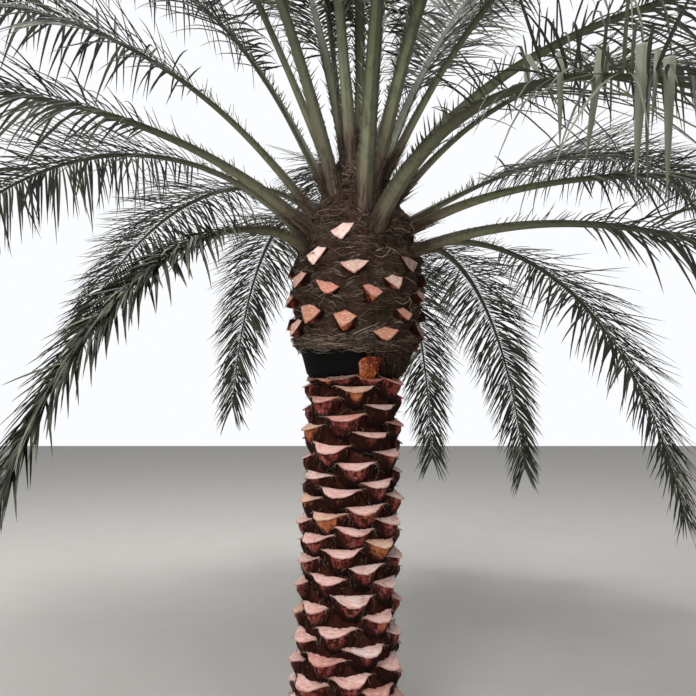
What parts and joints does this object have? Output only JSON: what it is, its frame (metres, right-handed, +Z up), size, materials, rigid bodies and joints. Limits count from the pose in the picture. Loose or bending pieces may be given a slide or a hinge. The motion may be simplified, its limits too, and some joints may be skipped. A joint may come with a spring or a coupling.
{
  "type": "date palm tree",
  "caption": "Whole date palm, rooted: a leaning trunk covered with trimmed leaf bases, a fibrous collar, and arching feather fronds on all sides.",
  "frame": {"origin": "centre of the flat cut under the trunk, at ground level", "axes": "+Z up; +X is the side the trunk leans to; -Y is the front, the side seen in the picture"},
  "size_m": [6.7037, 6.1745, 5.7503],
  "materials": {
    "bark": "dark rough bark of old leaf bases, reddish where they are worn",
    "cut_face": "fresh sawn face of a leaf base, pale pink to orange, matte and fibrous",
    "fibre": "coarse brown net of leaf sheath fibre with paler loose strands",
    "petiole": "smooth grey-green leaf stalk and rib, browner towards its foot",
    "leaflet": "stiff grey-green leaflet, satin, paler underneath"
  },
  "bodies": {
    "root": {"trunk": "bark", "frond_01_inner": "petiole", "frond_01_outer": "leaflet", "frond_02_inner": "petiole", "frond_02_outer": "leaflet", "frond_03_inner": "petiole", "frond_03_outer": "leaflet", "frond_04_inner": "petiole", "frond_04_outer": "leaflet", "frond_06_inner": "petiole", "frond_06_outer": "leaflet", "frond_07_inner": "petiole", "frond_07_outer": "leaflet", "frond_08_inner": "petiole", "frond_08_outer": "leaflet", "frond_09_inner": "petiole", "frond_09_outer": "leaflet", "frond_10_inner": "petiole", "frond_10_outer": "leaflet", "frond_11_inner": "petiole", "frond_11_outer": "leaflet", "frond_12_inner": "petiole", "frond_12_outer": "leaflet", "frond_13": "leaflet", "frond_14": "leaflet", "frond_15_inner": "petiole", "frond_15_outer": "leaflet", "frond_16_inner": "petiole", "frond_16_outer": "leaflet", "frond_17_inner": "petiole", "frond_17_outer": "leaflet", "frond_18_inner": "petiole", "frond_18_outer": "leaflet", "frond_19_inner": "petiole", "frond_19_outer": "leaflet", "frond_20_inner": "petiole", "frond_20_outer": "leaflet", "frond_21_inner": "petiole", "frond_21_outer": "leaflet", "frond_22": "leaflet", "frond_23": "leaflet", "frond_24_inner": "petiole", "frond_24_outer": "leaflet", "frond_25": "leaflet", "frond_26": "leaflet", "frond_27": "leaflet", "frond_28": "leaflet", "frond_29": "leaflet", "frond_30": "leaflet"}
  },
  "joints": []
}
